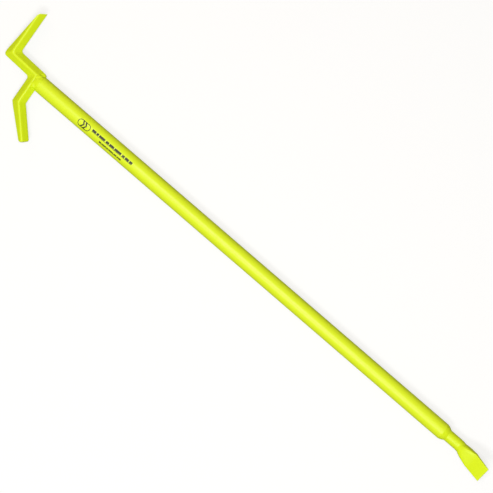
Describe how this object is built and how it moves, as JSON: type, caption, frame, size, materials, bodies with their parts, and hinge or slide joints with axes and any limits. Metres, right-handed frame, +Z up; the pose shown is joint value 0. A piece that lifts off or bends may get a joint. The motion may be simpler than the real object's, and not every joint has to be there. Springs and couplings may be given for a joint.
{
  "type": "roof hook",
  "caption": "All-steel roof hook: straight pole with a straight hook and an angled hook welded at one end and a bent, flared pry blade at the other.",
  "frame": {"origin": "on the pole tube's axis, at the middle of the tube's length", "axes": "+X along the pole from the hook head to the pry blade; the two hooks lie in the XY plane with +Y towards the straight hook's point; +Z up from the floor the tool lies on, the side the blade bends to"},
  "size_m": [1.2144, 0.2191, 0.0545],
  "materials": {
    "lime_paint": "satin powder coat on steel",
    "lime_weld": "satin powder coat over weld",
    "bare_steel": "raw, hidden inside the tube",
    "black_print": "matte printed ink film"
  },
  "bodies": {
    "root": {"pole_tube": "lime_paint", "head_plug": "bare_steel", "straight_hook_leg": "lime_paint", "straight_hook_point": "lime_paint", "straight_hook_weld": "lime_weld", "angled_hook_arm": "lime_paint", "angled_hook_claw": "lime_paint", "angled_hook_weld": "lime_weld", "corner_weld": "lime_weld", "notch_weld": "lime_weld", "head_weld": "lime_weld", "pry_bar": "lime_paint", "pry_weld": "lime_weld", "print_emblem": "black_print", "print_long_line": "black_print", "print_short_line": "black_print"}
  },
  "joints": []
}
